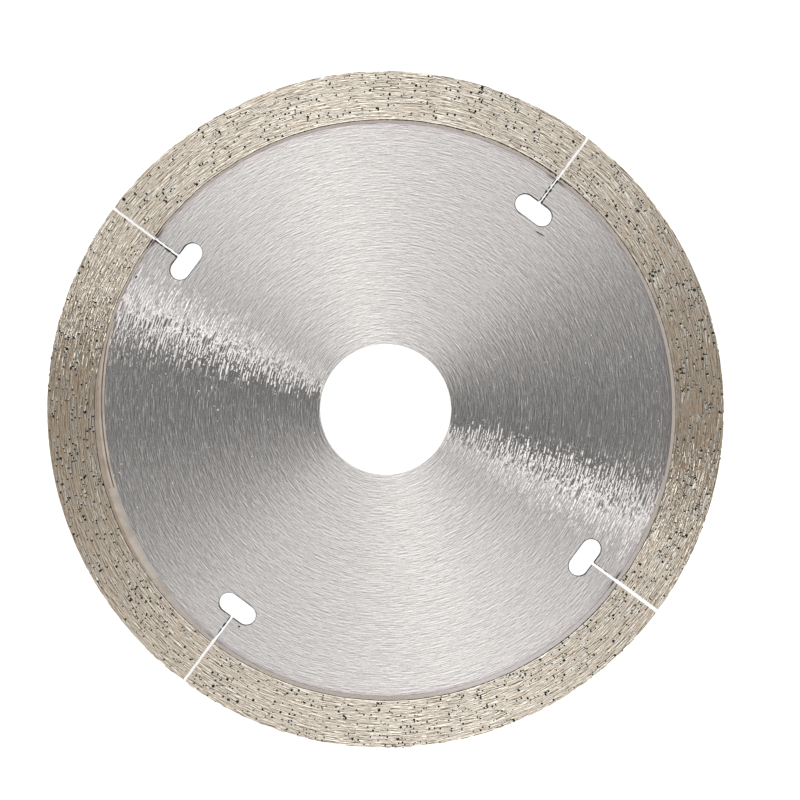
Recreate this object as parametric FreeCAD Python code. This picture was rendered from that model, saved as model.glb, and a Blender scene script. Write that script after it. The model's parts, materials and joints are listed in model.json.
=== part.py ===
import FreeCAD, Part
import math
import os

# A continuous rim diamond blade for a small angle grinder or tile saw, lying flat.
# The blade's axis is Z, and Z = 0 is the plane that the rim's underside rests on.
# Lengths are in millimetres. Angles are in degrees, from +X towards +Y.

# The whole blade
blade_diameter = 115.0
bore_diameter = 22.23  # the standard 7/8 inch bore
core_thickness = 1.2
bore_chamfer = 0.15

# The sintered rim: its ground faces stand a little proud of the steel core
rim_height = 8.77  # from the cutting edge in to the foot of the rim
rim_proud = 0.2
fillet_run = 0.7  # the moulded hollow between the ground face and the foot
foot_lip = 0.03  # what is left of the moulded foot's thickness where it ends
edge_bevel = 0.1  # the cutting edge's corners, broken when the blade was trued

# The hidden seat: the core runs on under the rim, thinned on both sides and notched,
# so that the rim is pressed over a tongue and keys into it
seat_depth = 2.0  # how far the steel reaches past the rim's foot
seat_thinning = 0.1  # taken off each side of the tongue
keys_per_arc = 8
key_depth = 1.2
key_mouth = 1.6
key_floor = 2.2

# The cooling slots, each ending in an oblong relief hole. They part the rim into arcs,
# which are named here in their order from the first slot on.
arc_names = ["top", "left", "bottom", "right"]
first_slot_angle = 53.4
slot_width = 0.6
relief_inset = 6.53  # from the rim's foot in to the middle of the hole
relief_length = 7.0
relief_width = 3.4
mouth_round = 0.2  # the corners where a slot opens into its hole

slot_count = len(arc_names)
outer_radius = blade_diameter / 2
bore_radius = bore_diameter / 2
foot_radius = outer_radius - rim_height
face_radius = foot_radius + fillet_run
seat_radius = foot_radius + seat_depth
relief_radius = foot_radius - relief_inset
core_bottom = rim_proud
core_top = core_bottom + core_thickness
rim_top = core_top + rim_proud
slot_step = 360 / slot_count
key_step = slot_step / keys_per_arc
cut_margin = 1.0  # how far a cutting shape runs on past what it cuts

axis = FreeCAD.Vector(0, 0, 1)
centre = FreeCAD.Vector(0, 0, 0)


def in_section(radius, height):
    """A point of the cross-section that is turned about the blade's axis."""
    return FreeCAD.Vector(radius, 0, height)


def line(start, end):
    return Part.LineSegment(start, end).toShape()


def arc(start, middle, end):
    return Part.Arc(start, middle, end).toShape()


def turned(edges):
    """The solid that a closed cross-section makes when it is turned all the way round."""
    return Part.Face(Part.Wire(edges)).revolve(centre, axis, 360)


def upright(edges, bottom, top):
    """The solid that a closed outline at Z = 0 makes between two heights."""
    block = Part.Face(Part.Wire(edges)).extrude(FreeCAD.Vector(0, 0, top - bottom))
    block.translate(FreeCAD.Vector(0, 0, bottom))
    return block


def copies_around(shape, first_angle, step, count):
    """The same shape at evenly spaced angles round the blade's axis."""
    copies = []
    for index in range(count):
        copy = shape.copy()
        copy.rotate(centre, axis, first_angle + index * step)
        copies.append(copy)
    return copies


def hollow_fillet(foot_height, face_height):
    """The moulded hollow from the foot's lip to the ground face. It leaves the foot level."""
    rise = face_height - foot_height
    radius = (fillet_run ** 2 + rise ** 2) / (2 * abs(rise))
    half_turn = math.asin(fillet_run / radius) / 2
    sag = math.copysign(radius * (1 - math.cos(half_turn)), rise)
    middle = in_section(foot_radius + radius * math.sin(half_turn), foot_height + sag)
    return arc(in_section(foot_radius, foot_height), middle, in_section(face_radius, face_height))


def make_key_notch():
    """One dovetail notch of the core's hidden edge, at angle 0."""
    floor_radius = seat_radius - key_depth
    outline = [
        FreeCAD.Vector(seat_radius + cut_margin, -key_mouth / 2, 0),
        FreeCAD.Vector(seat_radius + cut_margin, key_mouth / 2, 0),
        FreeCAD.Vector(seat_radius, key_mouth / 2, 0),
        FreeCAD.Vector(floor_radius, key_floor / 2, 0),
        FreeCAD.Vector(floor_radius, -key_floor / 2, 0),
        FreeCAD.Vector(seat_radius, -key_mouth / 2, 0),
    ]
    edges = [line(a, b) for a, b in zip(outline, outline[1:] + outline[:1])]
    return upright(edges, core_bottom - cut_margin, core_top + cut_margin)


def make_slot_cutter():
    """One slot with its relief hole, at angle 0, as the shape of the material it removes."""
    slot_half = slot_width / 2
    hole_half = relief_width / 2
    straight_half = relief_length / 2 - hole_half
    hole_outside = relief_radius + hole_half
    hole_inside = relief_radius - hole_half
    slot_end = outer_radius + cut_margin
    round_rest = mouth_round * (1 - math.sqrt(0.5))

    def at(radius, across):
        return FreeCAD.Vector(radius, across, 0)

    edges = [
        line(at(slot_end, -slot_half), at(slot_end, slot_half)),
        line(at(slot_end, slot_half), at(hole_outside + mouth_round, slot_half)),
        arc(
            at(hole_outside + mouth_round, slot_half),
            at(hole_outside + round_rest, slot_half + round_rest),
            at(hole_outside, slot_half + mouth_round),
        ),
        line(at(hole_outside, slot_half + mouth_round), at(hole_outside, straight_half)),
        arc(
            at(hole_outside, straight_half),
            at(relief_radius, straight_half + hole_half),
            at(hole_inside, straight_half),
        ),
        line(at(hole_inside, straight_half), at(hole_inside, -straight_half)),
        arc(
            at(hole_inside, -straight_half),
            at(relief_radius, -straight_half - hole_half),
            at(hole_outside, -straight_half),
        ),
        line(at(hole_outside, -straight_half), at(hole_outside, -slot_half - mouth_round)),
        arc(
            at(hole_outside, -slot_half - mouth_round),
            at(hole_outside + round_rest, -slot_half - round_rest),
            at(hole_outside + mouth_round, -slot_half),
        ),
        line(at(hole_outside + mouth_round, -slot_half), at(slot_end, -slot_half)),
    ]
    return upright(edges, -cut_margin, rim_top + cut_margin)


def make_core_plate():
    """The steel disc with its bore and its notched tongue, before it is slotted."""
    outline = [
        in_section(bore_radius + bore_chamfer, core_bottom),
        in_section(foot_radius, core_bottom),
        in_section(foot_radius, core_bottom + seat_thinning),
        in_section(seat_radius, core_bottom + seat_thinning),
        in_section(seat_radius, core_top - seat_thinning),
        in_section(foot_radius, core_top - seat_thinning),
        in_section(foot_radius, core_top),
        in_section(bore_radius + bore_chamfer, core_top),
        in_section(bore_radius, core_top - bore_chamfer),
        in_section(bore_radius, core_bottom + bore_chamfer),
    ]
    disc = turned([line(a, b) for a, b in zip(outline, outline[1:] + outline[:1])])
    first_key = first_slot_angle + key_step / 2
    return disc.cut(copies_around(make_key_notch(), first_key, key_step, slot_count * keys_per_arc))


def make_rim(core_plate):
    """The whole sintered ring, pressed over the plate's tongue, before it is slotted."""
    low_face = in_section(outer_radius - edge_bevel, 0)
    low_edge = in_section(outer_radius, edge_bevel)
    high_edge = in_section(outer_radius, rim_top - edge_bevel)
    high_face = in_section(outer_radius - edge_bevel, rim_top)
    low_lip = core_bottom - foot_lip
    high_lip = core_top + foot_lip
    ring = turned([
        line(in_section(foot_radius, core_top), in_section(foot_radius, core_bottom)),
        line(in_section(foot_radius, core_bottom), in_section(foot_radius, low_lip)),
        hollow_fillet(low_lip, 0),
        line(in_section(face_radius, 0), low_face),
        line(low_face, low_edge),
        line(low_edge, high_edge),
        line(high_edge, high_face),
        line(high_face, in_section(face_radius, rim_top)),
        hollow_fillet(high_lip, rim_top),
        line(in_section(foot_radius, high_lip), in_section(foot_radius, core_top)),
    ])
    return ring.cut(core_plate)


def save(name, shape):
    solids = shape.Solids
    print(name, "solids", len(solids), "valid", shape.isValid(), "mm3", round(shape.Volume, 2))
    if len(solids) != 1:
        raise ValueError(name + " should be one solid")
    solids[0].exportStep(os.path.join("parts", name + ".step"))


def angle_after_first_slot(solid):
    middle = solid.CenterOfMass
    return (math.degrees(math.atan2(middle.y, middle.x)) - first_slot_angle) % 360


os.makedirs("parts", exist_ok=True)

plate = make_core_plate()
slot_cutters = copies_around(make_slot_cutter(), first_slot_angle, slot_step, slot_count)

save("steel_core", plate.cut(slot_cutters))

arcs = sorted(make_rim(plate).cut(slot_cutters).Solids, key=angle_after_first_slot)
for name, solid in zip(arc_names, arcs):
    save("rim_arc_" + name, solid)
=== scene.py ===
# %% [markdown]
# # A continuous rim diamond blade
#
# The blade lies flat on a pale bench: a brushed steel disc with a bore, four cooling slots
# that end in oblong relief holes, and a tan sintered rim full of diamond grit. The solid
# blade comes ready made as a frame of five pieces. This lesson gives it its looks. It keeps
# the five solids where they are, gives them finishes, and adds what is too fine to be drawn
# as a solid: the grit and its tails, the ragged lip of the ground face, the flash of bond,
# the oxide and burrs of the slots, and the small scratches of the steel.

# %% Load the blade
import json
import math
import random

import bmesh
import bpy
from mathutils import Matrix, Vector, noise


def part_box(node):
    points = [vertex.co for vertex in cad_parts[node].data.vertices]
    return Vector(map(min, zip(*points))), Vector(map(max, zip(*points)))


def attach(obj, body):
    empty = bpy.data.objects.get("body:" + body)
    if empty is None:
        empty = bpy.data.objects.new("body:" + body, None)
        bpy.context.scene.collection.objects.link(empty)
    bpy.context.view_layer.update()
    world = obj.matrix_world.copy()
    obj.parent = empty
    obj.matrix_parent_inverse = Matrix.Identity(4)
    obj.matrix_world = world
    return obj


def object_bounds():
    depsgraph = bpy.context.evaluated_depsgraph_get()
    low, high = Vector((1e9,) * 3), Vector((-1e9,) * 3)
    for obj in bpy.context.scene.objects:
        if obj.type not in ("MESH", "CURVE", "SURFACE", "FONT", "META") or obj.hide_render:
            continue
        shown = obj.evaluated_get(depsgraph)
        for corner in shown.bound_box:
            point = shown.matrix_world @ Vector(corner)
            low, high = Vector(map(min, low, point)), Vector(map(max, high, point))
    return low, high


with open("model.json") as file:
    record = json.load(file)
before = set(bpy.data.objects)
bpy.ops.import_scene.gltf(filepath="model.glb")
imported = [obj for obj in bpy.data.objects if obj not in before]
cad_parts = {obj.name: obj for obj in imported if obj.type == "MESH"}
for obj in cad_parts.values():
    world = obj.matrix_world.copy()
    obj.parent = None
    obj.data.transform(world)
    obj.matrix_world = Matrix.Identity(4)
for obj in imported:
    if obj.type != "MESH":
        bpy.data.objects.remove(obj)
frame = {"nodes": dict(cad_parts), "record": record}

cad_low, cad_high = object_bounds()
print("nodes:", sorted(frame["nodes"]))

# %% [markdown]
# ## Sizes
#
# All is in metres, in the blade's own frame: its axis is Z, and Z = 0 is the plane of the
# rim's underside. The sizes are read from the solids where they can be, so that what is
# added sits on them. Only the slots, their holes and the bevel are given again.

# %% Read the sizes from the solids
MM = 0.001
first_slot_angle = math.radians(53.4)
slot_count = 4
slot_half_width = 0.3 * MM
relief_radius = 42.2 * MM
relief_half_length = 3.5 * MM
relief_half_width = 1.7 * MM
edge_bevel = 0.1 * MM

core = frame["nodes"]["steel_core"]
arcs = [frame["nodes"][name] for name in sorted(frame["nodes"]) if name.startswith("rim_arc")]


def radii_at_height(objects, height):
    """The distances from the axis of the vertices that lie at one height."""
    places = [v.co for o in objects for v in o.data.vertices]
    return [math.hypot(p.x, p.y) for p in places if abs(p.z - height) < 0.001 * MM]


rim_top = cad_high.z
core_bottom, core_top = (corner.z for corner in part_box("steel_core"))
outer_radius = max(radii_at_height(arcs, rim_top)) + edge_bevel
face_radius = min(radii_at_height(arcs, rim_top))
foot_radius = max(radii_at_height([core], core_top))
bore_radius = frame["record"]["mounts"][0]["dims"]["r_mm"] * MM
print("outer, face, foot and bore radius in mm:",
      [round(r / MM, 2) for r in (outer_radius, face_radius, foot_radius, bore_radius)])

# %% [markdown]
# ## Small helpers for shader nodes
#
# A finish is a tree of nodes. `add` places one node, fills its first inputs with numbers or
# with links, and sets its options, so that each finish below reads as a short recipe.

# %% Helpers for shader nodes
def add(tree, kind, *inputs, **options):
    """One new node. Each input is a value, a socket to link, or None to leave it alone."""
    node = tree.nodes.new(kind)
    for name, value in options.items():
        setattr(node, name, value)
    for socket, value in zip(node.inputs, inputs):
        plug(tree, value, socket)
    return node


def plug(tree, value, socket):
    """Links the value if it is a socket, and otherwise sets it."""
    if isinstance(value, bpy.types.NodeSocket):
        tree.links.new(value, socket)
    elif value is not None:
        socket.default_value = value


def maths(tree, operation, *inputs):
    return add(tree, "ShaderNodeMath", *inputs, operation=operation).outputs[0]


def vectors(tree, operation, *inputs):
    return add(tree, "ShaderNodeVectorMath", *inputs, operation=operation).outputs[0]


def scaled(tree, vector, factor):
    node = add(tree, "ShaderNodeVectorMath", vector, operation="SCALE")
    plug(tree, factor, node.inputs["Scale"])
    return node.outputs[0]


def ramp(tree, value, start, end, low=0.0, high=1.0):
    """Goes smoothly from low to high as the value goes from start to end."""
    node = add(tree, "ShaderNodeMapRange", value, start, end, low, high)
    node.interpolation_type = "SMOOTHSTEP"
    return node.outputs[0]


def blend(tree, factor, first, second, mode="MIX"):
    """Mixes two colours."""
    node = add(tree, "ShaderNodeMix", data_type="RGBA", blend_type=mode)
    plug(tree, factor, node.inputs[0])
    plug(tree, first, node.inputs[6])
    plug(tree, second, node.inputs[7])
    return node.outputs[2]


def new_group(name, inputs, outputs):
    """An empty shader group. Inputs are (name, kind, value), outputs (name, kind)."""
    group = bpy.data.node_groups.new(name, "ShaderNodeTree")
    for label, kind, value in inputs:
        socket = group.interface.new_socket(label, in_out="INPUT", socket_type=kind)
        socket.default_value = value
    for label, kind in outputs:
        group.interface.new_socket(label, in_out="OUTPUT", socket_type=kind)
    given, out = group.nodes.new("NodeGroupInput"), group.nodes.new("NodeGroupOutput")
    return group, given.outputs, out.inputs


def use(tree, group, **values):
    """Places a group and sets its named inputs. An underscore stands for a space."""
    node = tree.nodes.new("ShaderNodeGroup")
    node.node_tree = group
    for name, value in values.items():
        plug(tree, value, node.inputs[name.replace("_", " ")])
    return node.outputs


def new_material(name):
    material = bpy.data.materials.new(name)
    material.use_nodes = True
    tree = material.node_tree
    return material, tree, tree.nodes["Principled BSDF"].inputs


FLOAT, VECTOR = "NodeSocketFloat", "NodeSocketVector"

# %% [markdown]
# ## Where a point lies on the blade
#
# Both the steel and the rim were ground while the blade turned, so their marks run round the
# axis. This group gives each point its radius in millimetres, its place across the marks, and
# the directions outwards and around, for every finish to build on. The place across the
# marks is the radius plus the height, so that it also changes on an upright wall. A second
# group gives the distance from the nearest slot.

# %% Group: place on the blade
def make_place_group():
    group, _, out = new_group("place_on_blade", [], [
        ("Radius", FLOAT), ("Across", FLOAT), ("Point", VECTOR), ("Outward", VECTOR), ("Around", VECTOR)])
    place = add(group, "ShaderNodeTexCoord").outputs["Object"]
    point = scaled(group, place, 1 / MM)
    flat = vectors(group, "MULTIPLY", point, (1, 1, 0))
    outward = vectors(group, "NORMALIZE", flat)
    length = add(group, "ShaderNodeVectorMath", flat, operation="LENGTH").outputs["Value"]
    around = vectors(group, "CROSS_PRODUCT", (0, 0, 1), outward)
    height = add(group, "ShaderNodeSeparateXYZ", point).outputs["Z"]
    across = maths(group, "ADD", length, height)
    for socket, value in zip(out, (length, across, point, outward, around)):
        plug(group, value, socket)
    return group


place_on_blade = make_place_group()


def make_slot_group():
    """How far a point lies from the middle line of the nearest slot."""
    group, _, out = new_group("slot_distance", [], [("Distance", FLOAT)])
    point = use(group, place_on_blade)["Point"]
    turned = add(group, "ShaderNodeVectorRotate", point)
    turned.inputs["Angle"].default_value = -first_slot_angle
    parts = add(group, "ShaderNodeSeparateXYZ", vectors(group, "ABSOLUTE", turned.outputs[0])).outputs
    plug(group, maths(group, "MINIMUM", parts["X"], parts["Y"]), out["Distance"])
    return group


slot_distance = make_slot_group()
print("nodes in the two groups:", len(place_on_blade.nodes), len(slot_distance.nodes))

# %% [markdown]
# ## Streaks that run round the axis
#
# Each grinding mark is a hair-thin arc. The blade is parted into rings of one mark's width,
# and each ring shows its own slice of a noise, sampled at (x / length, y / length, ring).
# Moving round a ring changes the noise slowly, so each mark is a short arc with no seam
# anywhere. A scratch has a lit side and a shaded side, so the rings come in pairs: the second
# of a pair is most of the opposite of the first. A slow drift lets the rings waver, as the
# marks of a belt do.

# %% Group: streaks
waver_scale = 0.12     # per mm, of the slow noise that lets the rings waver
slice_step = 3.7       # how far apart two pairs of rings sample the noise
second_of_pair = -0.7  # what the second ring of a pair shows of the first
middle_grey = 0.5


def make_streak_group():
    group, given, out = new_group("round_streaks", [
        ("Length", FLOAT, 2.0), ("Width", FLOAT, 0.15), ("Detail", FLOAT, 2.0),
        ("Drift", FLOAT, 0.0), ("Shift", FLOAT, 0.0)], [("Streak", FLOAT), ("Flank", FLOAT)])
    place = use(group, place_on_blade)
    slow = add(group, "ShaderNodeTexNoise", place["Point"])
    slow.inputs["Scale"].default_value = waver_scale
    waver = maths(group, "SUBTRACT", slow.outputs["Fac"], middle_grey)
    drift = maths(group, "MULTIPLY", waver, given["Drift"])
    lane = maths(group, "ADD", place["Across"], drift)
    along = scaled(group, place["Point"], maths(group, "DIVIDE", 1.0, given["Length"]))
    ring = maths(group, "FLOOR", maths(group, "DIVIDE", lane, given["Width"]))
    pair = maths(group, "FLOOR", maths(group, "MULTIPLY", ring, 0.5))
    side = maths(group, "SUBTRACT", ring, maths(group, "MULTIPLY", pair, 2.0))
    across = maths(group, "MULTIPLY_ADD", pair, slice_step, given["Shift"])
    flat = vectors(group, "MULTIPLY", along, (1, 1, 0))
    lifted = add(group, "ShaderNodeCombineXYZ", 0.0, 0.0, across).outputs[0]
    marks = add(group, "ShaderNodeTexNoise", vectors(group, "ADD", flat, lifted))
    marks.inputs["Scale"].default_value = 1.0
    marks.inputs["Roughness"].default_value = 0.7
    plug(group, given["Detail"], marks.inputs["Detail"])
    turned = maths(group, "MULTIPLY_ADD", side, second_of_pair - 1.0, 1.0)
    mark = maths(group, "MULTIPLY", maths(group, "SUBTRACT", marks.outputs["Fac"], middle_grey), turned)
    plug(group, maths(group, "ADD", mark, middle_grey), out["Streak"])
    plug(group, maths(group, "MULTIPLY_ADD", side, -2.0, 1.0), out["Flank"])
    return group


round_streaks = make_streak_group()
print("nodes in the streaks:", len(round_streaks.nodes))

# %% [markdown]
# ## Tilted grooves
#
# What the eye reads as brushed metal isn't colour: each groove is turned a little, so it
# catches another part of the studio. A groove has two walls, so across the marks this group
# tips one lane outwards and the next inwards, never by less than a least amount. Along the
# marks it tips by a second set of streaks. What a wall reflects moves round the studio by the
# one tip divided by the other, so the tip along the marks changes its sign with the wall:
# otherwise the two sets would beat against each other and make blotches. At the edge between
# a bright and a dark fan, the grooves make the sparkle.

# %% Group: grooves
def make_groove_group():
    group, given, out = new_group("grooves", [
        ("Length", FLOAT, 2.0), ("Width", FLOAT, 0.15), ("Scratch width", FLOAT, 0.3),
        ("Tip along", FLOAT, 0.05), ("Tip across", FLOAT, 0.05)], [("Normal", VECTOR)])
    place = use(group, place_on_blade)
    first = use(group, round_streaks, Length=given["Length"], Width=given["Scratch width"],
                Detail=3.0, Drift=0.6, Shift=7.0)["Streak"]
    second = use(group, round_streaks, Length=given["Length"], Width=given["Width"],
                 Detail=2.0, Drift=0.15, Shift=31.0)
    reach = ramp(group, place["Radius"], bore_radius / MM, foot_radius / MM, 1.3, 0.9)
    sway = maths(group, "MULTIPLY", ramp(group, first, 0.38, 0.62, -0.5, 0.5), reach)
    with_wall = maths(group, "MULTIPLY", sway, second["Flank"])
    along = maths(group, "MULTIPLY", with_wall, given["Tip along"])
    steepness = ramp(group, second["Streak"], 0.25, 0.75, 0.4, 1.0)
    steepness = maths(group, "MULTIPLY", steepness, given["Tip across"])
    across = maths(group, "MULTIPLY", second["Flank"], steepness)
    normal = add(group, "ShaderNodeNewGeometry").outputs["Normal"]
    tipped = vectors(group, "ADD", normal, scaled(group, place["Around"], along))
    tipped = vectors(group, "ADD", tipped, scaled(group, place["Outward"], across))
    plug(group, vectors(group, "NORMALIZE", tipped), out["Normal"])
    return group


grooves = make_groove_group()
print("nodes in the grooves:", len(grooves.nodes))

# %% [markdown]
# ## The steel core
#
# Bright steel, brushed in circles. Its roughness is low along the marks and high across
# them, which the shader calls anisotropic. The tangent says which way the light spreads: out
# from the axis, across the marks. That alone turns a plain studio into the bright and dark
# fans of a brushed disc. The marks wind a little, so the fans bend. Their colour comes in
# light and dark pairs, the steel's grain with a painted highlight and a painted shade for the
# lit and the shaded wall of each scratch. Beside the rim the steel has a heat tint that is
# partly painted shade: it reaches furthest in at the lower left, where it stands for soft
# shade, and a band of painted shade darkens the steel just inside the rim's foot. It is
# scorched where a slot meets the rim.

# %% Finish: brushed steel
foot, face = foot_radius / MM, face_radius / MM  # as the place group measures them
dark_mark_and_shade, light_mark_and_highlight = (0.40, 0.385, 0.373, 1), (0.80, 0.770, 0.747, 1)
heat_tint_and_shade, rim_foot_shade, scorched = (0.50, 0.475, 0.475, 1), (0.97, 0.94, 0.96, 1), (0.09, 0.07, 0.06, 1)
to_lower_left = (-0.7, -0.7, 0.0)


def outward_tangent(tree, wind_at_bore, wind_at_rim):
    """The direction in which a highlight spreads: across the marks, which wind a little."""
    place = add(tree, "ShaderNodeTexCoord").outputs["Object"]
    flat = vectors(tree, "MULTIPLY", place, (1, 1, 0))
    radius = add(tree, "ShaderNodeVectorMath", flat, operation="LENGTH").outputs["Value"]
    around = vectors(tree, "NORMALIZE", vectors(tree, "CROSS_PRODUCT", (0, 0, 1), flat))
    normal = add(tree, "ShaderNodeNewGeometry").outputs["Normal"]
    wind = add(tree, "ShaderNodeMapRange", radius, bore_radius, foot_radius, wind_at_bore, wind_at_rim)
    across = vectors(tree, "CROSS_PRODUCT", around, normal)
    return vectors(tree, "ADD", across, scaled(tree, around, wind.outputs[0]))


def make_steel():
    material, tree, steel = new_material("brushed_steel")
    place = use(tree, place_on_blade)
    streak = use(tree, round_streaks, Length=2.2, Width=0.15, Detail=4.0, Drift=0.6, Shift=3.0)["Streak"]
    # Painted light and shade: the streaks' light and dark pairs paint the lit and the shaded wall of each
    # scratch over the steel's own grain.
    shaded = blend(tree, ramp(tree, streak, 0.36, 0.64), dark_mark_and_shade, light_mark_and_highlight)
    wavering = add(tree, "ShaderNodeTexNoise", place["Point"])
    wavering.inputs["Scale"].default_value = 0.6
    edge = maths(tree, "MULTIPLY_ADD", wavering.outputs["Fac"], 0.4, place["Radius"])
    towards = add(tree, "ShaderNodeVectorMath", place["Outward"], to_lower_left, operation="DOT_PRODUCT")
    lower_left = towards.outputs["Value"]
    # Heat tint beside the rim, partly painted shade: it reaches further in at the lower left, where it
    # stands for soft shade.
    shifted = maths(tree, "ADD", edge, ramp(tree, lower_left, 0.9, 1.0, 0.0, 0.4))
    tint = ramp(tree, shifted, foot - 0.25, foot + 0.3)
    colour = blend(tree, tint, shaded, heat_tint_and_shade)
    # Painted shade: a faint band that darkens the steel just inside the rim's foot.
    rim_foot_shading = ramp(tree, edge, foot - 1.6, foot)
    colour = blend(tree, rim_foot_shading, colour, rim_foot_shade, "MULTIPLY")
    ragged = maths(tree, "MULTIPLY", wavering.outputs["Fac"], 1.6)
    burn = maths(tree, "ADD", use(tree, slot_distance)["Distance"], ragged)
    near_rim = ramp(tree, edge, foot - 0.4, foot + 0.2)
    scorch = maths(tree, "MULTIPLY", ramp(tree, burn, 3.4, 1.6), near_rim)
    scorch = maths(tree, "MULTIPLY", scorch, ramp(tree, lower_left, 0.9, 1.0, 1.0, 0.35))
    colour = blend(tree, scorch, colour, scorched)
    plug(tree, colour, steel["Base Color"])
    steel["Metallic"].default_value = 1.0
    steel["Roughness"].default_value = 0.15
    steel["Anisotropic"].default_value = 1.0
    plug(tree, outward_tangent(tree, -0.36, 0.27), steel["Tangent"])
    normal = use(tree, grooves, Length=2.4, Width=0.17, Scratch_width=0.20,
                 Tip_along=0.12, Tip_across=0.70)
    plug(tree, normal["Normal"], steel["Normal"])
    return material


core.data.materials.clear()
core.data.materials.append(make_steel())
print("the core is", core.data.materials[0].name)

# %% [markdown]
# ## The sintered rim
#
# A bronze bond full of diamond, ground with the same circular marks. The grinding polishes
# its ridges to bright metal and leaves its hollows dull and brown. So the finish is both, in
# fine streaks: where the tent is bright the ridges shine, and where it is dark only the
# brown is left. The light and dark pairs of the coarse streaks paint the lit and the shaded
# wall of each mark into both colours. The ground face lies a little off centre. The moulded
# flank inside it was never ground and is dull, apart from the lower right, which is painted
# paler and made metallic, as painted light on that side.

# %% Finish: ground bond
off_centre = -0.05  # mm, how far the ground face is shifted along X
dull_ridge, bright_ridge = (0.66, 0.63, 0.56, 1), (1.0, 0.958, 0.865, 1)
dark_hollow, light_hollow = (0.20, 0.126, 0.064, 1), (0.50, 0.33, 0.172, 1)
moulded_flank, lit_side_flank = (0.57, 0.495, 0.43, 1), (0.62, 0.59, 0.585, 1)


def make_bond():
    material, tree, bond = new_material("ground_bond")
    place = use(tree, place_on_blade)
    fine = use(tree, round_streaks, Length=2.0, Width=0.05, Detail=0.0, Drift=0.6, Shift=11.0)["Streak"]
    coarse = use(tree, round_streaks, Length=3.2, Width=0.17, Detail=2.0, Drift=0.6, Shift=71.0)["Streak"]
    side = add(tree, "ShaderNodeSeparateXYZ", place["Outward"]).outputs
    edge = maths(tree, "MULTIPLY_ADD", side["X"], off_centre, place["Radius"])
    ground = ramp(tree, edge, face - 0.02, face + 0.02)
    worn = maths(tree, "MULTIPLY_ADD", coarse, 0.55, fine)
    polish = maths(tree, "MULTIPLY", ramp(tree, worn, 0.74, 0.81), ground)
    # Painted light and shade: the coarse streaks' light and dark pairs paint the lit and the shaded wall of
    # each mark over the bond's own tone.
    shade = ramp(tree, coarse, 0.38, 0.60)
    ridge = blend(tree, shade, dull_ridge, bright_ridge)
    hollow = blend(tree, shade, dark_hollow, light_hollow)
    # Painted light: the moulded flank's lower right is painted paler, and made metallic, as if lit from
    # that side.
    lower = ramp(tree, side["Y"], -0.3, -0.75, 0.0, 0.8)
    painted_lit_side = maths(tree, "MULTIPLY", ramp(tree, side["X"], 0.0, 0.4), lower)
    flank = blend(tree, painted_lit_side, moulded_flank, lit_side_flank)
    unpolished = blend(tree, ground, flank, hollow)
    plug(tree, blend(tree, polish, unpolished, ridge), bond["Base Color"])
    shiny = maths(tree, "MULTIPLY", painted_lit_side, maths(tree, "SUBTRACT", 1.0, ground))
    plug(tree, maths(tree, "MAXIMUM", polish, shiny), bond["Metallic"])
    plug(tree, ramp(tree, polish, 0.0, 1.0, 0.30, 0.12), bond["Roughness"])
    bond["Anisotropic"].default_value = 0.95
    plug(tree, outward_tangent(tree, 0.0, 0.10), bond["Tangent"])
    normal = use(tree, grooves, Length=2.4, Width=0.17, Scratch_width=0.1,
                 Tip_along=0.20, Tip_across=0.60)
    plug(tree, normal["Normal"], bond["Normal"])
    return material


ground_bond = make_bond()
for arc in arcs:
    arc.data.materials.clear()
    arc.data.materials.append(ground_bond)
print(len(arcs), "arcs are", ground_bond.name)

# %% [markdown]
# ## Making pieces
#
# Every added piece is a crowd of small closed shapes: crystals, tails, burrs. A `Crowd`
# gathers their corners and faces, with a finish for each face, and makes one mesh of them in
# the end, with its faces turned outwards. Each piece rides on the blade's one body.

# %% Helper: a crowd of small shapes
class Crowd:
    def __init__(self, seed):
        self.points, self.faces, self.finishes = [], [], []
        self.dice = random.Random(seed)

    def add(self, points, faces, finish=0):
        first = len(self.points)
        self.points += [tuple(point) for point in points]
        self.faces += [[first + index for index in face] for face in faces]
        self.finishes += [finish] * len(faces) if isinstance(finish, int) else finish

    def tube(self, rings, finish):
        """Joins equal rings into a tube with shut ends. Finish has one number for each side."""
        size, last = len(rings[0]), len(rings) - 1
        faces, finishes = [], []
        for row in range(last):
            for side in range(size):
                beside = (side + 1) % size
                faces.append([row * size + side, row * size + beside,
                              (row + 1) * size + beside, (row + 1) * size + side])
                finishes.append(finish[side])
        faces += [list(range(size))[::-1], [last * size + side for side in range(size)]]
        finishes += [finish[0]] * 2
        self.add([point for ring in rings for point in ring], faces, finishes)

    def piece(self, name, slot, materials):
        mesh = bpy.data.meshes.new(name)
        mesh.from_pydata(self.points, [], self.faces)
        for material in materials:
            mesh.materials.append(material)
        mesh.polygons.foreach_set("material_index", self.finishes)
        solid = bmesh.new()
        solid.from_mesh(mesh)
        bmesh.ops.recalc_face_normals(solid, faces=solid.faces)
        bmesh.ops.triangulate(solid, faces=solid.faces)
        solid.to_mesh(mesh)
        solid.free()
        made = bpy.data.objects.new(name, mesh)
        bpy.context.scene.collection.objects.link(made)
        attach(made, "root")
        print(name, "has", len(mesh.polygons), "triangles")


def polar(radius, angle, height=0.0):
    return Vector((radius * math.cos(angle), radius * math.sin(angle), height))


def from_slot(radius, angle):
    """How far a place lies from the nearest slot's middle line."""
    step = 2 * math.pi / slot_count
    turn = (angle - first_slot_angle + step / 2) % step - step / 2
    return abs(radius * math.sin(turn))


faces_of_rim = {"front": (1, rim_top), "back": (-1, cad_low.z)}
slot_angles = [first_slot_angle + 2 * math.pi * number / slot_count for number in range(slot_count)]

# %% [markdown]
# ## Finishes of the small pieces
#
# Diamond grit is dark and hardly shines. Some crystals have a pale chip at their side, which is a painted
# glint.
# The tail of bond that each crystal shelters is polished bright. Beside the tails, and in the
# crack along the ground face, a dark dull colour is painted as shade. The laser that cut the
# slots left a black oxide. Later cells make the finishes that only they need.

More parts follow.
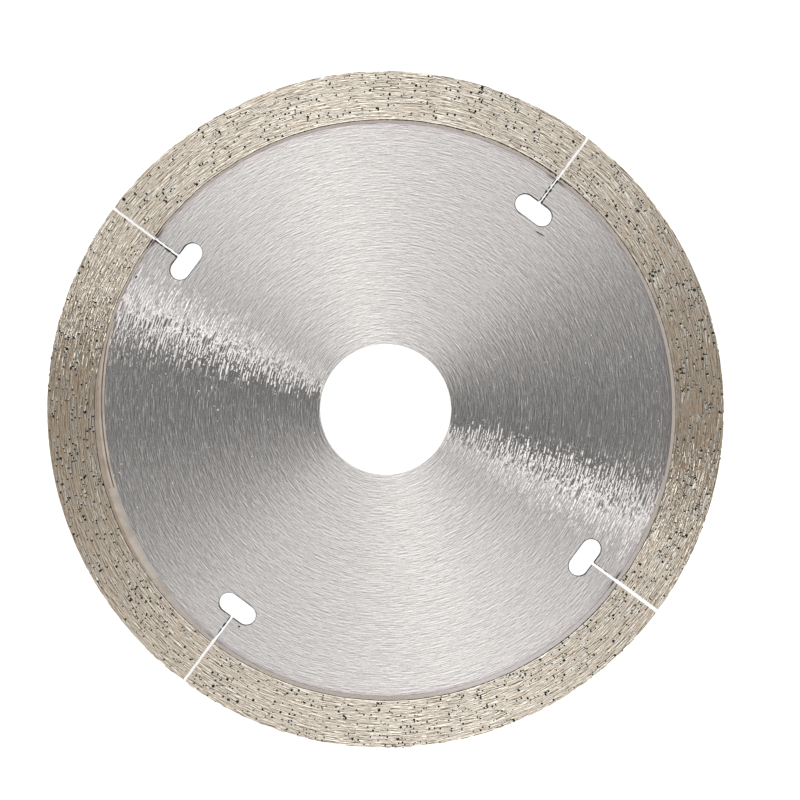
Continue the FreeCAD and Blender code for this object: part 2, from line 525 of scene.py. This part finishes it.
# %% Finishes: grit, tail, painted shade, oxide
def make_mottled(name, dark, light, grain, metallic, roughness, grooved=False):
    """A finish whose colour wavers between two shades, over patches of the grain's size."""
    material, tree, body = new_material(name)
    place = use(tree, place_on_blade)
    patches = add(tree, "ShaderNodeTexNoise", place["Point"])
    patches.inputs["Scale"].default_value = 1 / grain
    shade = ramp(tree, patches.outputs["Fac"], 0.35, 0.65)
    plug(tree, blend(tree, shade, (*dark, 1), (*light, 1)), body["Base Color"])
    body["Metallic"].default_value = metallic
    body["Roughness"].default_value = roughness
    body["Anisotropic"].default_value = 0.9 * metallic
    plug(tree, outward_tangent(tree, 0.0, 0.10), body["Tangent"])
    if grooved:
        normal = use(tree, grooves, Length=2.4, Width=0.2, Scratch_width=0.2,
                     Tip_along=0.2, Tip_across=0.5)
        plug(tree, normal["Normal"], body["Normal"])
    return material


grit_glass = make_mottled("grit_glass", (0.002, 0.002, 0.002), (0.02, 0.016, 0.012), 0.5, 0.0, 0.6)
# Painted highlight: a pale chip beside some crystals stands in for a glint.
painted_glint_chip = make_mottled("painted_glint_chip", (0.55, 0.50, 0.42), (0.90, 0.87, 0.80), 0.5, 0.0, 0.35)
polished_bond = make_mottled("polished_bond", (0.74, 0.695, 0.60), (0.95, 0.90, 0.80), 1.2, 1.0, 0.15, True)
# Painted shade: the dark colour of the tails' furrows.
furrow_shade = make_mottled("furrow_shade", (0.04, 0.027, 0.018), (0.15, 0.105, 0.07), 0.8, 0.0, 0.8)
# Painted shade: the dark colour in the crack under the lip.
crack_shade = make_mottled("crack_shade", (0.015, 0.01, 0.007), (0.09, 0.06, 0.04), 0.8, 0.0, 0.8)
black_oxide = make_mottled("black_oxide", (0.005, 0.005, 0.006), (0.04, 0.038, 0.038), 0.6, 0.0, 0.6)
grit_glass.node_tree.nodes["Principled BSDF"].inputs["Specular IOR Level"].default_value = 0.2
print("finishes so far:", len(bpy.data.materials))

# %% [markdown]
# ## Diamond grit and its tails
#
# Each crystal is a small faceted lump, sunk into the face. They lie in loose swarms, so a
# noise decides where they crowd. Behind most of them runs a tail: the bond that the crystal
# shelters wears away more slowly. A tail follows its circle, drifts inwards a little, and
# thins to nothing. It has a bright crest, with a furrow along its sides that is painted dark
# as shade. The lower left of the rim is quieter, with fewer tails.

# %% Grit and tails
grit_per_face = 1900
grit_size, size_spread = 0.145 * MM, 0.25
swarm_size = 2.2 * MM
tail_share = 0.75
quiet_angle = math.radians(222)
quiet_share = 0.6  # how many of the tails are missing there
widest_tail, longest_tail = 0.16 * MM, 7.0
tail_drift = math.tan(math.radians(6.0))
tail_taper = 0.4
painted_glint_share = 0.25


def add_crystal(crowd, middle, outward, upward, size, finish=0):
    """A faceted lump in three rings: one sunk in, one at its girdle and a smaller one on top."""
    dice = crowd.dice
    sides = dice.choice((5, 6, 7))
    around = upward.cross(outward)
    rings = []
    shares = ((1.0, -0.25), (dice.uniform(0.85, 1.05), 0.15), (dice.uniform(0.45, 0.7), 0.40))
    for share, height in shares:
        ring = []
        for side in range(sides):
            turn = 2 * math.pi * (side + dice.uniform(-0.2, 0.2)) / sides
            reach = size * share * dice.uniform(0.8, 1.15)
            place = middle + outward * (reach * math.cos(turn)) + around * (reach * math.sin(turn))
            ring.append(place + upward * (size * height * dice.uniform(0.8, 1.2)))
        rings.append(ring)
    crowd.tube(rings, [finish] * sides)


def add_tail(crowd, radius, angle, side, height, length, width):
    """A low ridge with a furrow at each side. Its section is (across, up), up in mm."""
    dice = crowd.dice
    steps = max(4, round(length / (0.45 * MM)))
    furrows = [width * dice.choice((0.1, 0.4, 0.8)) + 0.01 * MM for _ in range(2)]
    crest = width * 0.12
    rings = []
    for step in range(steps + 1):
        along = step / steps
        fade = (1 - along) ** tail_taper
        half = width / 2 * fade + 0.01 * MM
        top = crest * fade / MM + 0.006
        at_radius = radius - tail_drift * length * along
        at_angle = angle - length * along / radius
        section = [(-half - furrows[0] * fade, -0.002), (-half, 0.006), (-half * 0.3, top),
                   (half * 0.3, top), (half, 0.006), (half + furrows[1] * fade, -0.002),
                   (half, -0.04), (-half, -0.04)]
        rings.append([polar(at_radius + across, at_angle, height + side * lift * MM)
                      for across, lift in section])
    # Finish 1 paints the furrows, and the sunk underside, dark as shade.
    crowd.tube(rings, [1, 0, 0, 0, 1, 1, 1, 1])


def place_of_grit(dice, seed):
    """A place on the ground face, likelier where the noise lets the grit swarm."""
    innermost, outermost = face_radius + 0.2 * MM, outer_radius - 0.25 * MM
    while True:
        radius = math.sqrt(dice.uniform(innermost ** 2, outermost ** 2))
        angle = dice.uniform(0, 2 * math.pi)
        swarm = noise.noise(polar(radius, angle, seed * MM) / swarm_size)
        if swarm > dice.uniform(-0.75, 0.45) and from_slot(radius, angle) > slot_half_width + 0.2 * MM:
            return radius, angle


def has_tail(dice, angle):
    quietness = max(0.0, math.cos(angle - quiet_angle)) ** 3
    return dice.random() < tail_share * (1 - quiet_share * quietness)


for seed, (name, (side, height)) in enumerate(faces_of_rim.items()):
    grit, tails = Crowd(11 + seed), Crowd(31 + seed)
    upward = Vector((0, 0, side))
    for number in range(grit_per_face):
        radius, angle = place_of_grit(grit.dice, seed)
        size = grit_size * grit.dice.lognormvariate(0, size_spread)
        outward = polar(1, angle)
        add_crystal(grit, polar(radius, angle, height), outward, upward, size)
        dice = tails.dice
        tailed = has_tail(dice, angle)
        length = (min(longest_tail, dice.lognormvariate(0.9, 0.55)) if tailed else 0.4) * MM
        clear = min(from_slot(radius, angle - length / radius * share / 8) for share in range(9))
        fits = radius - tail_drift * length > face_radius + 0.25 * MM
        if clear > slot_half_width + 0.1 * MM and fits:
            width = min(widest_tail, size * 2 * dice.uniform(0.32, 0.52))
            add_tail(tails, radius, angle - 0.5 * size / radius, side, height, length, width)
        # A pale chip beside some crystals: a painted glint.
        if dice.random() < painted_glint_share:
            place = polar(radius + dice.uniform(-0.4, 0.4) * size, angle - 1.1 * size / radius, height)
            add_crystal(tails, place, outward, upward, size * dice.uniform(0.5, 0.75), 2)
    grit.piece("grit_" + name, "rim_bond", [grit_glass])
    tails.piece("tails_" + name, "rim_bond", [polished_bond, furrow_shade, painted_glint_chip])

# %% [markdown]
# ## Grit on the cutting edge
#
# The rim is full of diamond right through, so crystals stand out of the cutting edge too, and
# make its outline a little ragged.

# %% Grit on the cutting edge
crystals_on_edge = 520
upwards = Vector((0, 0, 1))
edge_grit = Crowd(51)
for number in range(crystals_on_edge):
    angle = edge_grit.dice.uniform(0, 2 * math.pi)
    height = edge_grit.dice.uniform(0.1 * MM, rim_top - 0.1 * MM)
    size = 0.12 * MM * edge_grit.dice.lognormvariate(0, 0.3)
    if from_slot(outer_radius, angle) > slot_half_width + size:
        middle = polar(outer_radius - 0.02 * MM, angle, height)
        add_crystal(edge_grit, middle, upwards, polar(1, angle), size)
edge_grit.piece("grit_edge", "rim_bond", [grit_glass])

# %% [markdown]
# ## The ragged edge of the ground face
#
# The grinding stops at a thin lip, which is bright on top, and wavers because the moulded
# hollow beside it was never machined. Under the lip lies a crack, painted dark as shade. Both
# are one ribbon along each arc, whose section follows the hollow that the solid has there.
# The ground face isn't quite round inside: it lies off centre, comes further in at the upper
# left, starts further out behind the flash, and leaves a broad flank on the right. Near a slot
# the crack and its painted shade are wider, except at the quiet lower left.

# %% The lip of the ground face
foot_lip = 0.03 * MM
lip_rise = rim_top - core_top - foot_lip
hollow = ((face_radius - foot_radius) ** 2 + lip_rise ** 2) / (2 * lip_rise)
off_centre_by, off_centre_from = 0.17, math.radians(25)
upper_left_by, upper_left_at, upper_left_spread = 0.13, 140, 25
at_flash_by, behind_flash_from, behind_flash_to, behind_flash_slope = 0.27, 168, 214, 6
at_right_by, at_right_spread = 0.25, math.radians(25)
crack_width, crack_swing, crack_at_right, crack_at_slot = 0.14, 0.06, 0.14, 0.25
crack_reach = 3.0 * MM  # how far from a slot its crack is wider
crack_widest_at = 0.35  # radians


def depth_of_hollow(radius):
    """How far the moulded hollow lies under the ground face."""
    run = min(max(radius - foot_radius, 0.0), face_radius - foot_radius)
    return lip_rise - (hollow - math.sqrt(hollow ** 2 - run ** 2))


def at_right(angle):
    """Rises to 1 on the blade's right side, where the moulded flank is broad and pale."""
    return math.exp(4 * (math.cos(angle) - 1) / at_right_spread ** 2 / 2)


def reach_of_lip(angle):
    """How much further out than in the solid the ground face begins, in mm."""
    turn = math.degrees(angle) % 360
    shifted = off_centre_by * math.cos(angle + off_centre_from)
    upper_left = upper_left_by * math.exp(-((turn - upper_left_at) / upper_left_spread) ** 2)
    behind = min(turn - behind_flash_from, behind_flash_to - turn) / behind_flash_slope
    at_flash = at_flash_by * min(1.0, max(0.0, behind))
    return shifted - upper_left + at_flash - at_right_by * at_right(angle)


def add_lip(crowd, start, end, side, height):
    """One arc's lip and crack. The section is (radius, depth under the face), depth in mm."""
    steps = round((end - start) * face_radius / (0.25 * MM))
    rings = []
    for step in range(steps + 1):
        angle = start + (end - start) * step / steps
        waver = noise.noise(polar(face_radius, angle, side * 5 * MM) / (2.0 * MM))
        tremble = noise.noise(polar(face_radius, angle, side * 9 * MM) / (0.5 * MM))
        edge = face_radius + (0.07 * waver + 0.03 * tremble + reach_of_lip(angle)) * MM
        near_slot = max(0.0, 1 - from_slot(face_radius, angle) / crack_reach)
        near_slot *= min(1.0, 1 - math.cos(angle - quiet_angle))
        wide = crack_width + crack_swing * math.cos(angle - crack_widest_at)
        wide = wide - crack_at_right * at_right(angle) + crack_at_slot * near_slot
        inside = edge - max(0.03, wide * (1 + 0.8 * tremble)) * MM
        floor_of_crack = depth_of_hollow(inside) / MM
        section = [(edge + 0.2 * MM, 0.03), (edge + 0.15 * MM, -0.01), (edge, -0.025),
                   (edge - 0.02 * MM, 0.0), (inside, floor_of_crack - 0.035),
                   (inside, floor_of_crack + 0.03), (edge, 0.12)]
        rings.append([polar(radius, angle, height - side * depth * MM) for radius, depth in section])
    # Finish 1 paints the crack dark as shade.
    crowd.tube(rings, [0, 0, 1, 1, 1, 1, 0])


for seed, (name, (side, height)) in enumerate(faces_of_rim.items()):
    lip = Crowd(61 + seed)
    margin = (slot_half_width + 0.02 * MM) / face_radius
    for start in slot_angles:
        add_lip(lip, start + margin, start + 2 * math.pi / slot_count - margin, side, height)
    lip.piece("lip_" + name, "rim_bond", [polished_bond, crack_shade])

# %% [markdown]
# ## The flash of bond on one side
#
# On the left side, a little bond ran out over the core when the rim was pressed. It makes a
# thin crescent, whose inner edge is a circle that lies off the blade's centre. In its upper
# half the edge is a fine bead, with a groove behind it whose dark colour is painted shade.
# The lower half is plain and thinner, and its edge draws back to the foot of the rim.

# %% The flash of bond
flash_circle = 51.8 * MM
flash_shift = 4.24 * MM
flash_middle = math.radians(200)
flash_start, groove_end, flash_end = math.radians(162), math.radians(196), math.radians(232)
flash_rise, groove_depth = 0.05, 0.042


def flash_edge(angle):
    """The radius at which the crescent ends, on a circle shifted away from its middle."""
    turn = angle - flash_middle
    across, along = flash_shift * math.sin(turn), flash_shift * math.cos(turn)
    return math.sqrt(flash_circle ** 2 - across ** 2) - along


def add_flash(crowd, start, end, grooved):
    """A part of the crescent. The section is (across from its edge, up from the core) in mm."""
    steps = round((end - start) * foot_radius / (0.4 * MM))
    rings = []
    for step in range(steps + 1):
        angle = start + (end - start) * step / steps
        taper = min(1.0, (flash_end - angle) / math.radians(16))
        fade = max(0.0, min(1.0, (angle - flash_start) / math.radians(12), taper))
        waver = noise.noise(polar(foot_radius, angle, 17 * MM) / (1.5 * MM)) * 0.03 * MM
        edge = foot_radius + (min(flash_edge(angle), foot_radius) - foot_radius) * taper + waver
        rise = flash_rise * fade
        groove = rise - (groove_depth * fade if grooved else 0.0)
        section = [(0.0, -0.03), (0.0, 0.004), (0.06, rise), (0.34, rise),
                   (0.38, groove), (0.52, groove), (0.56, rise), (0.95, rise)]
        ring = [polar(edge + across * MM, angle, core_top + lift * MM) for across, lift in section]
        for radius in (foot_radius + 0.25 * MM, face_radius - 0.01 * MM):
            radius = max(radius, edge + 0.97 * MM)
            ring.append(polar(radius, angle, rim_top - depth_of_hollow(radius) + 0.012 * MM))
        ring.append(polar(face_radius, angle, core_top - 0.03 * MM))
        rings.append(ring)
    # Finish 1 paints the groove behind the bead dark as shade.
    with_groove, plain = [0, 0, 0, 1, 1, 1, 0, 2, 2, 2, 2], [3, 3, 3, 3, 3, 3, 0, 0, 2, 2, 2]
    crowd.tube(rings, with_groove if grooved else plain)


flash = Crowd(91)
add_flash(flash, flash_start, groove_end, True)
add_flash(flash, groove_end, flash_end, False)
moulded_bond = make_mottled("moulded_bond", (0.34, 0.27, 0.205), (0.42, 0.345, 0.27), 2.5, 0.0, 0.6)
cream_bead = make_mottled("cream_bead", (0.47, 0.40, 0.33), (0.58, 0.51, 0.43), 2.5, 0.0, 0.5)
# Painted shade: the dark colour in the groove behind the bead.
groove_shade = make_mottled("groove_shade", (0.12, 0.09, 0.07), (0.20, 0.155, 0.12), 1.0, 0.0, 0.7)
thin_flash = make_mottled("thin_flash", (0.43, 0.39, 0.35), (0.52, 0.48, 0.44), 2.5, 0.0, 0.6)
flash.piece("rim_flash", "rim_bond", [cream_bead, groove_shade, moulded_bond, thin_flash])

# %% [markdown]
# ## The oxide in the slots and holes
#
# The slots were cut by a laser. It leaves a thin black skin on the walls, with a little
# dross that stands over both faces. The skin is a ribbon that follows the wall of a slot in,
# round the relief hole, and out again. The dross is heavy on some walls and nearly missing
# on others, so each slot has a weight for each of its two walls. Where a burr narrows the
# slot, the skin moves in with it: that is the wall's inset, in mm.

# %% Oxide on the cut walls
def slot_outline():
    """The opening's edge as (radius, across) points, from the rim in, round the hole and out."""
    hole_outside = relief_radius + relief_half_width
    straight = relief_half_length - relief_half_width
    hole_inside = relief_radius - relief_half_width
    wall, shoulder = hole_outside - foot_radius, straight - slot_half_width
    points = [(foot_radius + wall * step / 24, slot_half_width) for step in range(25)]
    points += [(hole_outside, slot_half_width + shoulder * step / 6) for step in range(1, 6)]
    for turn in range(0, 181, 12):
        bend = math.radians(90 - turn)
        points.append((relief_radius + relief_half_width * math.sin(bend),
                       straight + relief_half_width * math.cos(bend)))
    points += [(hole_inside, straight * (1 - step / 6)) for step in range(1, 6)]
    return points + [(hole_inside, 0.0)] + [(r, -a) for r, a in reversed(points)]


def add_oxide(crowd, angle, seed, weights, insets):
    """The skin of one slot. Weights and insets are for its left and its right wall."""
    outline = slot_outline()
    outward, around = polar(1, angle), polar(1, angle + math.pi / 2)
    rings = []
    for index, (radius, across) in enumerate(outline):
        before, after = outline[max(index - 1, 0)], outline[min(index + 1, len(outline) - 1)]
        run = Vector((after[0] - before[0], after[1] - before[1])).normalized()
        away = Vector((run.y, -run.x)) if run.length else Vector((0, 1))
        waver = noise.noise(Vector((radius, across, seed * MM)) / (0.5 * MM))
        slow = noise.noise(Vector((radius, across, seed * MM)) / (3.0 * MM))
        if radius > relief_radius + relief_half_width + 0.05 * MM:
            weight, inset = (pair[0 if across > 0 else 1] for pair in (weights, insets))
            inside = (inset + (0.01 + 0.10 * weight) * max(0.1, 1 + 1.2 * waver)) * MM
            outside = ((0.01 + 0.12 * weight) * max(0.0, 1 + 1.8 * waver) - inset) * MM
        else:
            inside = 0.02 * MM
            outside = (0.09 + 0.10 * slow + 0.05 * waver) * MM + 0.01 * MM
        outside = max(outside, 0.02 * MM - inside)
        ring = []
        for shift, height in ((-inside, core_bottom - 0.01 * MM), (outside, core_bottom - 0.01 * MM),
                              (outside, core_top + 0.01 * MM), (-inside, core_top + 0.01 * MM)):
            place = Vector((radius, across)) + away * shift
            ring.append(outward * place.x + around * place.y + Vector((0, 0, height)))
        rings.append(ring)
    crowd.tube(rings, [0] * 4)


# For each slot, from the first on: its left and its right wall, as seen from the axis.
dross_weights = [(0.8, 1.0), (1.0, 0.35), (0.05, 0.7), (0.35, 0.0)]
core_insets = [(0.16, 0.0), (0.0, 0.10), (0.03, 0.12), (0.08, 0.0)]
oxide = Crowd(71)
for number, angle in enumerate(slot_angles):
    add_oxide(oxide, angle, number, dross_weights[number], core_insets[number])
oxide.piece("slot_oxide", "core_steel", [black_oxide])

# %% [markdown]
# ## The burrs in the slots
#
# The slots aren't equally wide along their length: a burr stands in from some walls, of
# bright steel over the core, and of pale bond over the rim.

# %% Burrs that narrow the slots
def add_burr(crowd, angle, seed, sign, inset, radii, heights):
    """Fills a slot from one wall inwards, between two radii and two heights."""
    outward, around = polar(1, angle), polar(sign, angle + math.pi / 2)
    steps = round((radii[1] - radii[0]) / (0.35 * MM))
    rings = []
    for step in range(steps + 1):
        radius = radii[0] + (radii[1] - radii[0]) * step / steps
        waver = noise.noise(Vector((radius, sign * MM, seed * MM)) / (0.8 * MM))
        edge = slot_half_width - inset * (1 + 0.7 * waver) * MM
        ring = [(edge, heights[0]), (slot_half_width + 0.02 * MM, heights[0]),
                (slot_half_width + 0.02 * MM, heights[1]), (edge, heights[1])]
        rings.append([outward * radius + around * across + Vector((0, 0, height))
                      for across, height in ring])
    crowd.tube(rings, [0] * 4)


# As core_insets, but for the burrs between the rim's walls.
rim_insets = [(0.26, 0.0), (0.0, 0.26), (0.12, 0.10), (0.0, 0.0)]
mouth = 0.3 * MM  # how far the rounded corner where a slot opens into its hole reaches
core_burr, rim_burr = Crowd(72), Crowd(73)
along_core = (relief_radius + relief_half_width + mouth, foot_radius)
along_rim = (foot_radius + 0.02 * MM, outer_radius - edge_bevel)
through_core = (core_bottom + 0.01 * MM, core_top - 0.01 * MM)
through_rim = (cad_low.z + 0.03 * MM, rim_top - 0.03 * MM)
for number, angle in enumerate(slot_angles):
    for index, sign in enumerate((1, -1)):
        core_inset, rim_inset = core_insets[number][index], rim_insets[number][index]
        if core_inset:
            add_burr(core_burr, angle, number, sign, core_inset, along_core, through_core)
        if rim_inset:
            add_burr(rim_burr, angle, number, sign, rim_inset, along_rim, through_rim)
bright_steel = make_mottled("bright_steel", (0.70, 0.69, 0.68), (0.98, 0.97, 0.96), 1.0, 1.0, 0.5)
pale_burr = make_mottled("pale_burr", (0.60, 0.53, 0.45), (0.78, 0.72, 0.64), 1.0, 0.0, 0.5)
core_burr.piece("slot_burr_core", "core_steel", [bright_steel])
rim_burr.piece("slot_burr_rim", "rim_bond", [pale_burr])

# %% [markdown]
# ## Specks and scratches
#
# The steel has been handled. Tiny dents and hair scratches throw up a rim of bright metal,
# which shows as a white speck wherever the brushed face around it is dark. Most scratches run
# nearly along the brush marks, and a few cross them. Six marks are the ones that stand out in
# the photo, in their own places.

# %% Specks and scratches on the steel
specks_per_face, scratches_per_face = 560, 260
straight_share = 0.95  # how many scratches run nearly along the brush marks


def place_on_core(dice):
    """A place on the steel, clear of the bore, the rim, the slots and their holes."""
    innermost, outermost = bore_radius + 1 * MM, foot_radius - 0.8 * MM
    while True:
        radius = math.sqrt(dice.uniform(innermost ** 2, outermost ** 2))
        angle = dice.uniform(0, 2 * math.pi)
        beside_slot = from_slot(radius, angle) < relief_half_length + MM
        if not (beside_slot and radius > relief_radius - relief_half_width - MM):
            return radius, angle


def add_speck(crowd, radius, angle, side, height):
    """A flat burr with three to five corners and a peak off its middle."""
    dice = crowd.dice
    middle = polar(radius, angle, height)
    size = 0.09 * MM * dice.lognormvariate(0, 0.35)
    corners = dice.choice((3, 4, 5))
    base = [middle + polar(size * dice.uniform(0.7, 1.3), 2 * math.pi * corner / corners)
            for corner in range(corners)]
    low = [point - Vector((0, 0, side * 0.03 * MM)) for point in base]
    peak = middle + polar(size * 0.3, dice.uniform(0, 2 * math.pi), side * size * 0.35)
    sides = [(corner, (corner + 1) % corners) for corner in range(corners)]
    faces = [[one, two, 2 * corners] for one, two in sides]
    faces += [[one, corners + one, corners + two, two] for one, two in sides]
    faces.append([corners + corner for corner in range(corners)])
    crowd.add(base + low + [peak], faces)


def add_scratch(crowd, radius, angle, side, height, length, lean, width=0.08 * MM, finish=0):
    """A hair burr: a low ridge that starts and ends in a point, and bends a little."""
    centre = polar(radius, angle)
    run = polar(1, angle + math.pi / 2 + lean)
    across = Vector((-run.y, run.x, 0))
    steps = 8
    rings = []
    for step in range(steps + 1):
        along = step / steps
        half = width / 2 * math.sin(math.pi * (0.04 + 0.92 * along)) * crowd.dice.uniform(0.7, 1.2)
        middle = centre + run * (length * (along - 0.5)) + across * (0.04 * length * (along - 0.5) ** 2)
        rings.append([middle + across * half + Vector((0, 0, height)),
                      middle + Vector((0, 0, height + side * half * 0.5)),
                      middle - across * half + Vector((0, 0, height)),
                      middle + Vector((0, 0, height - side * 0.03 * MM))])
    crowd.tube(rings, [finish] * 4)


# Each has its x, y and length in mm, its lean in degrees, its width in mm, and its finish.
BRIGHT, DARK = 0, 1
marks_in_photo = [
    (26.2, 29.9, 2.1, 9, 0.24, DARK), (-24.9, -36.9, 0.5, 0, 0.35, DARK),
    (-42.4, 22.5, 0.5, 0, 0.35, DARK), (-44.8, 8.8, 0.9, -10, 0.24, DARK),
    (-43.4, 7.4, 0.4, 0, 0.3, BRIGHT), (-26.2, 27.8, 0.4, 40, 0.3, BRIGHT)]

for seed, (name, side, height) in enumerate([("front", 1, core_top), ("back", -1, core_bottom)]):
    marks = Crowd(81 + seed)
    dice = marks.dice
    for number in range(specks_per_face):
        add_speck(marks, *place_on_core(dice), side, height)
    for number in range(scratches_per_face):
        length = min(2.6, dice.lognormvariate(0.0, 0.45)) * MM
        lean = dice.gauss(0, 0.10) if dice.random() < straight_share else dice.uniform(-1.0, 1.0)
        add_scratch(marks, *place_on_core(dice), side, height, length, lean)
    if side > 0:
        for x, y, length, lean, width, finish in marks_in_photo:
            radius, angle = math.hypot(x, y) * MM, math.atan2(y, x)
            add_scratch(marks, radius, angle, side, height,
                        length * MM, math.radians(lean), width * MM, finish)
    marks.piece("marks_" + name, "core_steel", [bright_steel, black_oxide])

# %% [markdown]
# ## The bench
#
# A plain pale floor, which isn't part of the blade. It lies at the
# lowest grit under the blade. It glows, but only as the camera and reflections see it, so
# that it reads as white paper and still takes the blade's shadow.

# %% The floor
floor_half_width = 6.0
floor_glow = 0.88


def make_floor_material():
    material, tree, paper = new_material("white_paper")
    paper["Base Color"].default_value = (0.5, 0.5, 0.5, 1)
    paper["Roughness"].default_value = 0.9
    paper["Specular IOR Level"].default_value = 0.0
    rays = add(tree, "ShaderNodeLightPath").outputs
    seen = maths(tree, "MAXIMUM", rays["Is Camera Ray"], rays["Is Glossy Ray"])
    seen = maths(tree, "MAXIMUM", seen, rays["Is Transmission Ray"])
    paper["Emission Color"].default_value = (1, 1, 1, 1)
    plug(tree, maths(tree, "MULTIPLY", seen, floor_glow), paper["Emission Strength"])
    return material


def make_floor(half_width, height):
    mesh = bpy.data.meshes.new("bench")
    corners = [(-half_width, -half_width, height), (half_width, -half_width, height),
               (half_width, half_width, height), (-half_width, half_width, height)]
    mesh.from_pydata(corners, [], [(0, 1, 2, 3)])
    mesh.materials.append(make_floor_material())
    bench = bpy.data.objects.new("bench", mesh)
    bpy.context.scene.collection.objects.link(bench)


bench_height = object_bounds()[0].z
make_floor(floor_half_width, bench_height)
print("the bench lies at", round(bench_height / MM, 3), "mm")

# %% [markdown]
# ## The studio
#
# A soft white tent, with a dark gap at the left and the right. A brushed disc shows, at each
# angle, what stands in the studio along that angle, so the gaps make its two dark fans, and
# the gap's sharp side makes the sharp side of the fan. The list holds the tent's brightness
# at each angle round the axis. It is the same again half a turn on. Low down, at the horizon,
# the tent is evenly white.

# %% The light tent
gap_side = 163.0
half_turn = 180
tent = [(163, 0.18), (166, 0.20), (169, 0.26), (186, 0.29), (206, 0.50), (228, 0.90),
        (257, 1.09), (283, 1.33), (307, 1.07), (322, 0.84), (331, 0.71), (332.5, 0.69),
        (334.5, 1.2), (340.5, 1.9), (341.5, 0.20), (342.9, 0.18)]
brightest = max(value for _, value in tent)


def make_studio(level):
    world = bpy.data.worlds.new("light_tent")
    bpy.context.scene.world = world
    world.use_nodes = True
    tree = world.node_tree
    ray = add(tree, "ShaderNodeSeparateXYZ", add(tree, "ShaderNodeTexCoord").outputs["Generated"]).outputs
    turns = maths(tree, "DIVIDE", maths(tree, "ARCTAN2", ray["Y"], ray["X"]), math.pi)
    place = maths(tree, "FRACT", maths(tree, "SUBTRACT", turns, gap_side / half_turn - 2))
    gradient = add(tree, "ShaderNodeValToRGB", place)
    curve = gradient.color_ramp
    while len(curve.elements) < len(tent):
        curve.elements.new(0.5)
    for stop, (degrees, value) in zip(curve.elements, tent):
        stop.position = (degrees - gap_side) / half_turn
        stop.color = (value / brightest, value / brightest, value / brightest, 1)
    overhead = ramp(tree, ray["Z"], 0.0, 0.6)
    fans = maths(tree, "MULTIPLY", gradient.outputs["Color"], brightest * level)
    strength = add(tree, "ShaderNodeMix", overhead, data_type="FLOAT")
    strength.inputs[2].default_value = level
    plug(tree, fans, strength.inputs[3])
    background = tree.nodes["Background"]
    background.inputs["Color"].default_value = (1, 1, 1, 1)
    plug(tree, strength.outputs[0], background.inputs["Strength"])


make_studio(1.0)
print("the tent's brightness:", min(value for _, value in tent), "to", brightest)

# %% [markdown]
# ## The camera
#
# It looks straight down. The blade sits a little left of and below the middle of the photo,
# so the camera stands a little to the right of the axis and above it.

# %% The camera
def make_camera(across, up, distance, half_view):
    camera = bpy.data.cameras.new("camera")
    camera.sensor_width = 36.0
    camera.lens = camera.sensor_width / 2 * distance / half_view
    camera.clip_start = 0.01
    camera.clip_end = 50.0
    holder = bpy.data.objects.new("camera", camera)
    holder.location = (across, up, rim_top + distance)
    bpy.context.scene.collection.objects.link(holder)
    bpy.context.scene.camera = holder
    return holder


camera = make_camera(across=2.46 * MM, up=1.61 * MM, distance=0.6, half_view=67.97 * MM)
bpy.context.scene.view_settings.view_transform = "Standard"
print("lens in mm:", round(camera.data.lens, 1))
